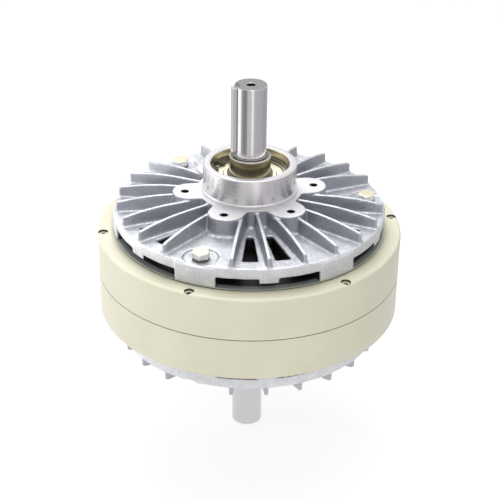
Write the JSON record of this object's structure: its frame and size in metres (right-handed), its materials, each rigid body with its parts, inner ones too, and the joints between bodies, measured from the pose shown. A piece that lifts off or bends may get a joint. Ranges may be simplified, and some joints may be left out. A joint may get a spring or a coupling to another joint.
{
  "type": "magnetic powder clutch",
  "caption": "Two-shaft magnetic powder clutch: cream coil housing between two finned aluminium brackets, with keyed coaxial input and output shafts that slip through powder.",
  "frame": {"origin": "centre of the clutch, on the shaft axis at the seam between the two yoke halves", "axes": "+Z along the shafts towards the input side; +X through a bracket bolt, a lobe hole and a housing screw; the coil leads leave towards +Y"},
  "size_m": [0.335, 0.335, 0.425],
  "materials": {
    "housing_paint": "smooth semi-gloss cream paint, bare machined land",
    "cast_aluminium": "sand-cast aluminium, fine grain, machined spigot",
    "zinc_fastener": "yellow zinc plate",
    "black_fastener": "black oxide",
    "ground_steel": "ground steel",
    "bearing_steel": "fine turned bearing steel",
    "ball_steel": "polished",
    "drum_steel": "dark machined steel",
    "copper_wire": "enamelled copper",
    "black_resin": "moulded resin",
    "black_rubber": "moulded rubber",
    "iron_powder": "packed iron powder"
  },
  "bodies": {
    "stator": {"upper_yoke": "housing_paint", "lower_yoke": "housing_paint", "coil_bobbin": "black_resin", "coil_winding": "copper_wire", "lead_grommet": "black_rubber", "housing_screws": "housing_paint", "upper_bracket": "cast_aluminium", "lower_bracket": "cast_aluminium", "upper_bracket_bolts": "zinc_fastener", "lower_bracket_bolts": "zinc_fastener", "upper_lock_washers": "black_fastener", "lower_lock_washers": "black_fastener", "input_bearing_outer_ring": "bearing_steel", "input_bearing_shields": "bearing_steel", "input_bore_ring": "black_fastener", "output_bearing_outer_ring": "bearing_steel", "output_bearing_shields": "bearing_steel", "output_bore_ring": "black_fastener"},
    "input_rotor": {"input_shaft": "ground_steel", "input_key": "ground_steel", "input_bearing_inner_ring": "bearing_steel", "input_shaft_ring": "black_fastener", "upper_drum_ring": "drum_steel", "flux_break_ring": "drum_steel", "lower_drum_ring": "drum_steel", "upper_side_plate": "drum_steel", "lower_side_plate": "drum_steel", "upper_side_screws": "black_fastener", "lower_side_screws": "black_fastener", "flange_screws": "black_fastener", "pilot_bearing_outer_ring": "bearing_steel", "cover_bearing_outer_ring": "bearing_steel", "cover_bore_ring": "black_fastener", "magnetic_powder": "iron_powder"},
    "output_rotor": {"output_shaft": "ground_steel", "output_key": "ground_steel", "output_bearing_inner_ring": "bearing_steel", "output_shaft_ring": "black_fastener", "driven_rotor": "ground_steel", "rotor_key": "ground_steel", "rotor_ring": "black_fastener", "pilot_bearing_inner_ring": "bearing_steel", "cover_bearing_inner_ring": "bearing_steel"},
    "input_ball_set": {"input_bearing_balls": "ball_steel", "input_bearing_cage": "bearing_steel"},
    "output_ball_set": {"output_bearing_balls": "ball_steel", "output_bearing_cage": "bearing_steel"},
    "pilot_ball_set": {"pilot_bearing_balls": "ball_steel", "pilot_bearing_cage": "bearing_steel"},
    "cover_ball_set": {"cover_bearing_balls": "ball_steel", "cover_bearing_cage": "bearing_steel"}
  },
  "joints": [
    {"name": "input_spin", "type": "hinge", "parent": "stator", "child": "input_rotor", "pos_m": [0, 0, 0], "axis": [0, 0, 1], "continuous": true},
    {"name": "output_spin", "type": "hinge", "parent": "stator", "child": "output_rotor", "pos_m": [0, 0, 0], "axis": [0, 0, 1], "continuous": true},
    {"name": "input_cage_spin", "type": "hinge", "parent": "stator", "child": "input_ball_set", "pos_m": [0, 0, 0], "axis": [0, 0, 1], "continuous": true},
    {"name": "output_cage_spin", "type": "hinge", "parent": "stator", "child": "output_ball_set", "pos_m": [0, 0, 0], "axis": [0, 0, 1], "continuous": true},
    {"name": "pilot_cage_spin", "type": "hinge", "parent": "input_rotor", "child": "pilot_ball_set", "pos_m": [0, 0, 0], "axis": [0, 0, 1], "continuous": true},
    {"name": "cover_cage_spin", "type": "hinge", "parent": "input_rotor", "child": "cover_ball_set", "pos_m": [0, 0, 0], "axis": [0, 0, 1], "continuous": true}
  ],
  "couplings": [
    {"joint": "input_cage_spin", "follows": "input_spin", "ratio": 0.4062},
    {"joint": "output_cage_spin", "follows": "output_spin", "ratio": 0.4062},
    {"joint": "pilot_cage_spin", "follows": "output_spin", "ratio": 0.3939},
    {"joint": "cover_cage_spin", "follows": "output_spin", "ratio": 0.4264}
  ]
}
